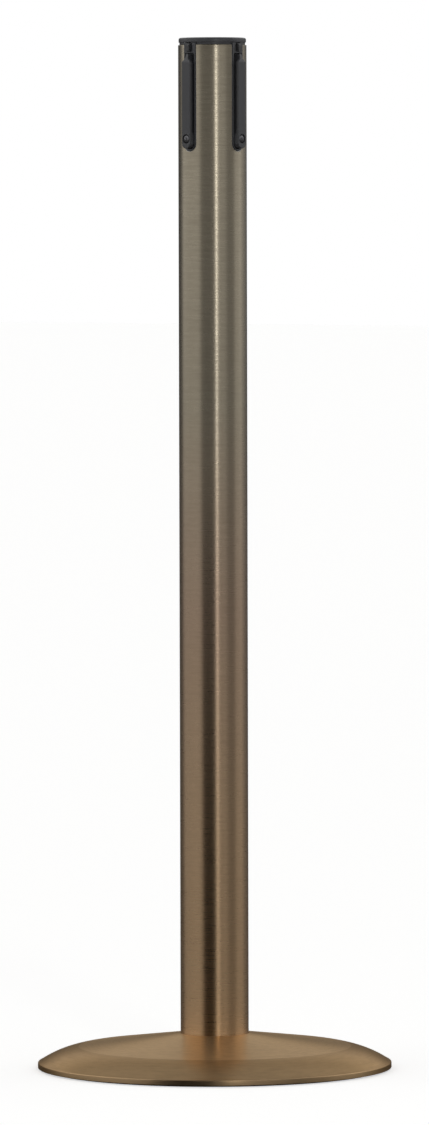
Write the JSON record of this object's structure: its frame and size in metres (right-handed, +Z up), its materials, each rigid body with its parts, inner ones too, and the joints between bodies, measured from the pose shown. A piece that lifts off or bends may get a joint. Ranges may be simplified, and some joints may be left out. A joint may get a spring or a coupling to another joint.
{
  "type": "belt barrier post",
  "caption": "Round metal post on a weighted round base, with four belt receivers and spring latches in slots at its top",
  "frame": {"origin": "centre of the footprint, on the floor", "axes": "+Z up along the post; the four belt receivers face -Y, +X, +Y and -X"},
  "size_m": [0.33, 0.33, 0.96],
  "materials": {
    "satin_bronze": "satin brushed, brown bronze tint, clear coated",
    "black_moulding": "fine moulded texture",
    "zinc_steel": "zinc plated",
    "black_steel": "black oxide",
    "cast_iron": "rough cast, painted black",
    "rubber": "moulded"
  },
  "bodies": {
    "post": {"floor_ring": "rubber", "base_weight": "cast_iron", "base_cover": "satin_bronze", "base_bolt": "zinc_steel", "flat_washer": "zinc_steel", "spring_washer": "zinc_steel", "foot_plug": "zinc_steel", "post_tube": "satin_bronze", "head_core": "black_moulding", "top_cap": "black_moulding", "receiver_front": "black_moulding", "latch_spring_front": "zinc_steel", "receiver_screw_front": "black_steel", "receiver_right": "black_moulding", "latch_spring_right": "zinc_steel", "receiver_screw_right": "black_steel", "receiver_back": "black_moulding", "latch_spring_back": "zinc_steel", "receiver_screw_back": "black_steel", "receiver_left": "black_moulding", "latch_spring_left": "zinc_steel", "receiver_screw_left": "black_steel"},
    "latch_front": {"latch_front": "black_moulding"},
    "latch_right": {"latch_right": "black_moulding"},
    "latch_back": {"latch_back": "black_moulding"},
    "latch_left": {"latch_left": "black_moulding"}
  },
  "joints": [
    {"name": "latch_front_press", "type": "slide", "parent": "post", "child": "latch_front", "axis": [0, 1, 0], "range_m": [0, 0.0026], "stiffness_N_per_m": 400, "springref_m": -0.0012, "deforming": ["latch_spring_front"]},
    {"name": "latch_right_press", "type": "slide", "parent": "post", "child": "latch_right", "axis": [-1, 0, 0], "range_m": [0, 0.0026], "stiffness_N_per_m": 400, "springref_m": -0.0012, "deforming": ["latch_spring_right"]},
    {"name": "latch_back_press", "type": "slide", "parent": "post", "child": "latch_back", "axis": [0, -1, 0], "range_m": [0, 0.0026], "stiffness_N_per_m": 400, "springref_m": -0.0012, "deforming": ["latch_spring_back"]},
    {"name": "latch_left_press", "type": "slide", "parent": "post", "child": "latch_left", "axis": [1, 0, 0], "range_m": [0, 0.0026], "stiffness_N_per_m": 400, "springref_m": -0.0012, "deforming": ["latch_spring_left"]}
  ]
}
